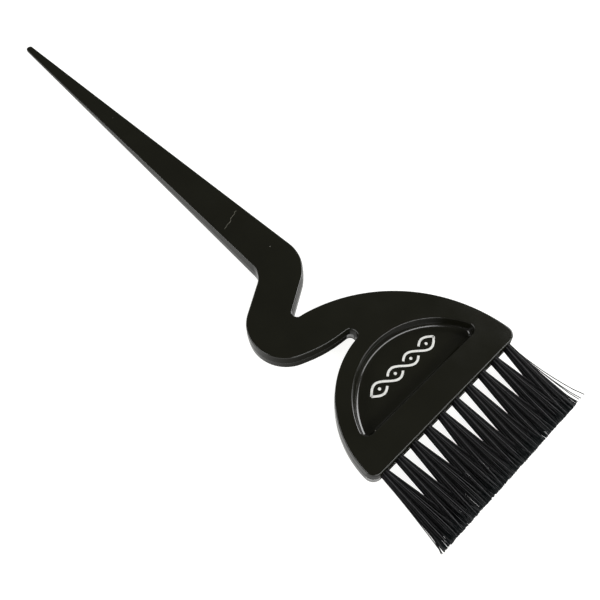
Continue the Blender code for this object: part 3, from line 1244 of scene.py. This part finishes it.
    def fold(self, root: tuple[float, float]) -> Section:
        """Lays the stretch in the hole: in over the anchor, round behind it and out under it.

        Args:
            root: The strand's x and height over the mid-plane.

        Returns:
            Points on the frame, between the mouth above the anchor and the mouth below it.
        """
        x, z = root
        ceiling = math.sqrt(max(self.bundle_radius**2 - x * x, 0.0))
        share = z / max(ceiling, 0.1)
        clear = self.anchor_half + max(ceiling - self.anchor_half, 0.05) * share
        behind = self.loop_least + (self.loop_reach - self.loop_least) * share
        upper = [(self.straight_in, z), (self.anchor_near - 0.5, clear), (self.anchor_far, clear)]
        turn = []
        for angle in (math.pi / 4, math.pi / 2, math.pi * 3 / 4):
            turn.append((self.anchor_far + behind * math.sin(angle), clear * math.cos(angle)))
        lower = [(depth, -height) for depth, height in reversed(upper)]
        return [self.point(self.x + x, -depth, height) for depth, height in upper + turn + lower]

    def build(self, finish: Material) -> Object:
        """Makes the tuft.

        Args:
            finish: The filament's material.

        Returns:
            The piece.
        """
        draw = random.Random(self.number)
        bm = bmesh.new()
        for i, root in enumerate(self.roots()):
            above, below = (
                (2 * i + 1 + draw.uniform(-self.rank_shuffle, self.rank_shuffle)) / self.strands - 1
                for _ in range(2)
            )
            upper = self.free_path(root, above, 1, draw)
            lower = self.free_path(root, below, -1, draw)
            add_tube(bm, upper[::-1] + self.fold(root) + lower, self.diameter / 2 * MM, self.sides)
        for reach in self.stray_reach:
            add_tube(bm, self.stray_path(reach, draw), self.stray_diameter / 2 * MM, self.sides)
        bmesh.ops.recalc_face_normals(bm, faces=bm.faces)
        label = f"{self.number:02d}"
        tuft = add_piece(f"tuft_filaments_{label}", bm, finish)
        mouth, end = self.point(self.x, 0.0, 0.0), self.point(self.x, self.plan.bristle_end, 0.0)
        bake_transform(tuft)
        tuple(mouth)
        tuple(end)
        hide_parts(f"tuft_{label}", f"tuft_root_{label}")
        return tuft


@dataclass
class TuftRow:
    """The ten tufts. Their edges meet at uneven depths, so the gaps between them differ.

    Attributes:
        gap_depths: How deep each gap reaches, from left to right.
        gap_leans: How far each gap's tip lies to the right of its middle.
    """

    plan: Plan
    gap_depths: tuple[float, ...] = (11.3, 11.4, 10.6, 8.8, 13.4, 14.8, 13.5, 12.7, 9.6)
    gap_leans: tuple[float, ...] = (0.1, -0.4, -0.2, -0.6, -0.7, -1.3, -1.3, -0.9, -0.9)
    left_end: Meeting = Meeting(-26.5, 17.0)
    right_end: Meeting = Meeting(23.2, 15.0)
    left_strays: tuple[float, ...] = (0.3, 0.8)
    right_strays: tuple[float, ...] = (1.1, 1.9, 2.7, 3.8)

    def meetings(self) -> list[Meeting]:
        """Returns where the tufts' edges meet, from the left end of the row to the right."""
        found = [self.left_end]
        for i, (depth, lean) in enumerate(zip(self.gap_depths, self.gap_leans)):
            middle = (self.plan.tufts[i] + self.plan.tufts[i + 1]) / 2
            found.append(Meeting(middle + lean, depth))
        found.append(self.right_end)
        return found

    def build(self, filament: Material, wire: Material) -> list[Object]:
        """Makes all tufts and dresses their anchors.

        Args:
            filament: The tufts' material.
            wire: The anchors' material.

        Returns:
            The tufts.
        """
        edges = self.meetings()
        made = []
        last = len(self.plan.tufts)
        for number in range(1, last + 1):
            tuft = Tuft(self.plan, number, edges[number - 1], edges[number])
            if number == 1:
                tuft.side, tuft.stray_reach = Side.LEFT, self.left_strays
            if number == last:
                tuft.side, tuft.stray_reach = Side.RIGHT, self.right_strays
            made.append(tuft.build(filament))
            anchor = frame["nodes"][f"tuft_anchor_{number:02d}"]
            anchor.data.materials.clear()
            anchor.data.materials.append(wire)
        return made


# Studio


@dataclass(frozen=True)
class Softbox:
    """A plain white softbox.

    Attributes:
        name: Name of the light.
        place: Where it stands, in millimetres of the frame.
        size: Width and height of its front.
        power: Its power in watts.
    """

    name: str
    place: tuple[float, float, float]
    size: tuple[float, float]
    power: float

    def build(self, aim: Vector) -> None:
        """Makes the light and turns it to a point, given in metres."""
        light = bpy.data.lights.new(self.name, "AREA")
        light.shape = "RECTANGLE"
        light.size, light.size_y = (side * MM for side in self.size)
        light.energy = self.power
        lamp = bpy.data.objects.new(self.name, light)
        bpy.context.scene.collection.objects.link(lamp)
        lamp.location = Vector(self.place) * MM
        lamp.rotation_mode = "QUATERNION"
        lamp.rotation_quaternion = (aim - lamp.location).to_track_quat("-Z", "Y")


@dataclass
class Studio:
    """A product table in a white tent with a dark top, with three softboxes and the camera.

    The brush's black face mirrors the dark top of the tent, and its edges the white sides.
    """

    lens: float = 43.8
    sensor: float = 36.0
    nearest: float = 10.0
    camera_place: tuple[float, float, float] = (-66.6, -106.9, 177.9)
    camera_aim: tuple[float, float, float] = (-4.5, -33.4, 3.0)
    camera_roll: float = math.radians(-4.65)
    table_radius: float = 4000.0
    table_corners: int = 96
    table_drop: float = 0.1
    sides: str = "#f2f2f0"
    top: str = "#4d4d4a"
    sides_end: float = 0.02
    top_start: float = 0.42
    softboxes: tuple[Softbox, ...] = (
        Softbox("front_softbox", (60.0, -560.0, 440.0), (900.0, 200.0), 4.6),
        Softbox("left_softbox", (-470.0, 225.0, 380.0), (700.0, 180.0), 2.8),
        Softbox("right_softbox", (465.0, -107.0, 340.0), (280.0, 340.0), 3.2),
    )

    def add_world(self) -> None:
        """Makes the tent: white at the height of the table, and darker and darker towards the top."""
        world = bpy.data.worlds.new("tent")
        bpy.context.scene.world = world
        world.use_nodes = True
        tree = world.node_tree
        direction = add_node(tree, "TexCoord", out="Generated")
        height = add_node(tree, "SeparateXYZ", {"Vector": direction}, "Z")
        reach = {"Value": height, "From Min": self.sides_end, "From Max": self.top_start}
        up = add_node(tree, "MapRange", reach, interpolation_type="SMOOTHSTEP")
        shade = {"Factor_Float": up, "A_Color": linear(self.sides), "B_Color": linear(self.top)}
        cloth = add_node(tree, "Mix", shade, "Result_Color", data_type="RGBA")
        feed(tree.nodes["Background"], {"Color": cloth})

    def add_table(self, finish: Material) -> None:
        """Makes the table's top, just under the brush, in this finish."""
        bm = bmesh.new()
        size = self.table_radius * MM
        bmesh.ops.create_circle(bm, cap_ends=True, segments=self.table_corners, radius=size)
        table = add_piece("table", bm, finish)
        table.location.z = -self.table_drop * MM

    def add_camera(self) -> None:
        """Makes the camera and gives it to the scene."""
        camera = bpy.data.cameras.new("camera")
        camera.lens = self.lens
        camera.sensor_width = self.sensor
        camera.clip_start = self.nearest * MM
        holder = bpy.data.objects.new("camera", camera)
        bpy.context.scene.collection.objects.link(holder)
        place, aim = Vector(self.camera_place) * MM, Vector(self.camera_aim) * MM
        holder.location = place
        holder.rotation_mode = "QUATERNION"
        roll = Quaternion((0.0, 0.0, 1.0), self.camera_roll)
        holder.rotation_quaternion = (aim - place).to_track_quat("-Z", "Y") @ roll
        bpy.context.scene.camera = holder

    def build(self, table_finish: Material) -> None:
        """Makes the whole studio, with the table in this finish."""
        bpy.context.scene.view_settings.view_transform = "Standard"
        self.add_camera()
        self.add_world()
        self.add_table(table_finish)
        for softbox in self.softboxes:
            softbox.build(Vector(self.camera_aim) * MM)


def main() -> None:
    """Builds the studio and then the brush, piece by piece."""
    logging.basicConfig(level=logging.INFO, format="%(name)s: %(message)s")
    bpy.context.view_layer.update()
    plan = Plan.read()
    LOG.info("plate %.1f mm thick, handle %.1f mm long", plan.thickness, plan.tail_end)

    Studio().build(OpalTable().build())
    LOG.info("studio: table, tent, softboxes and camera")

    moulding = HandleMoulding(plan)
    weld = plan.point(-1.0, 80.7, plan.thickness)
    handle = moulding.build(BlackMouldedAbs().build(weld))
    LOG.info("%s: %d faces", handle.name, len(handle.data.polygons))

    motif = PanelPrint(plan, plan.thickness - moulding.panel_depth).build(PadPrintInk().build())
    LOG.info("%s: %d faces", motif.name, len(motif.data.polygons))

    tips = plan.point(0.0, -plan.bristle_end, 0.0).y
    for tuft in TuftRow(plan).build(BlackNylonFilament().build(tips), NickelPlatedWire().build()):
        LOG.info("%s: %d faces", tuft.name, len(tuft.data.polygons))


if __name__ == "__main__":
    main()
